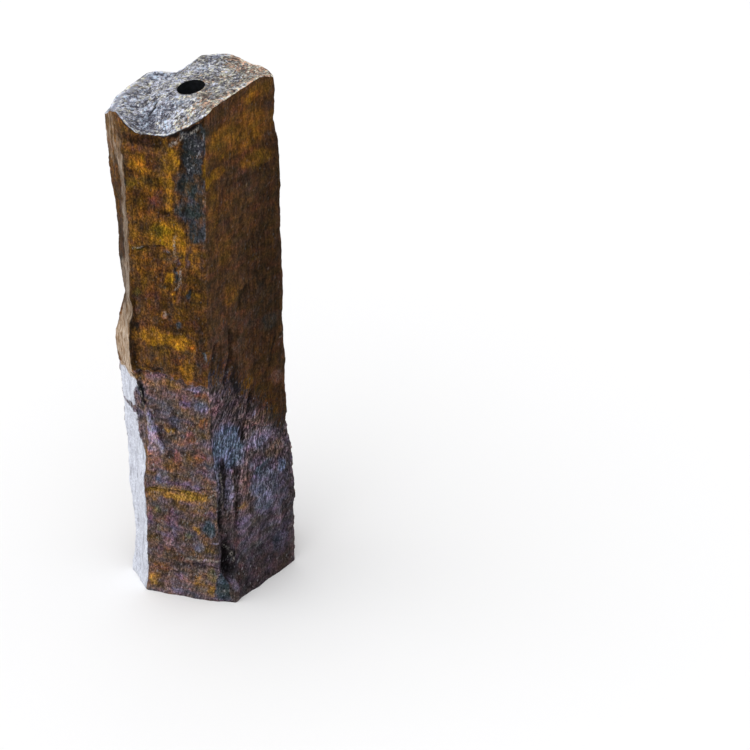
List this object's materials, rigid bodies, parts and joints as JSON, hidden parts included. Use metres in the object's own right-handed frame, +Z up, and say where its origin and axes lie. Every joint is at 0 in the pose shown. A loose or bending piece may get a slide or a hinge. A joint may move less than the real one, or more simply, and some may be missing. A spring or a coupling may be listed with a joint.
{
  "type": "basalt column",
  "caption": "Upright natural hexagonal basalt column with a sloping broken head and a sawn foot, drilled from end to end so that water can well up through it.",
  "frame": {"origin": "middle of the stone's outline at the level of its sawn foot; the drilled bore runs up the Z axis", "axes": "+Z up the column, the front arris faces -Y and the higher side of the head lies towards +X"},
  "size_m": [0.2362, 0.197, 0.7625],
  "materials": {
    "basalt": "weathered iron-stained skin, satin, with freshly broken grey rock on the head"
  },
  "bodies": {
    "root": {"basalt_column": "basalt"}
  },
  "joints": []
}
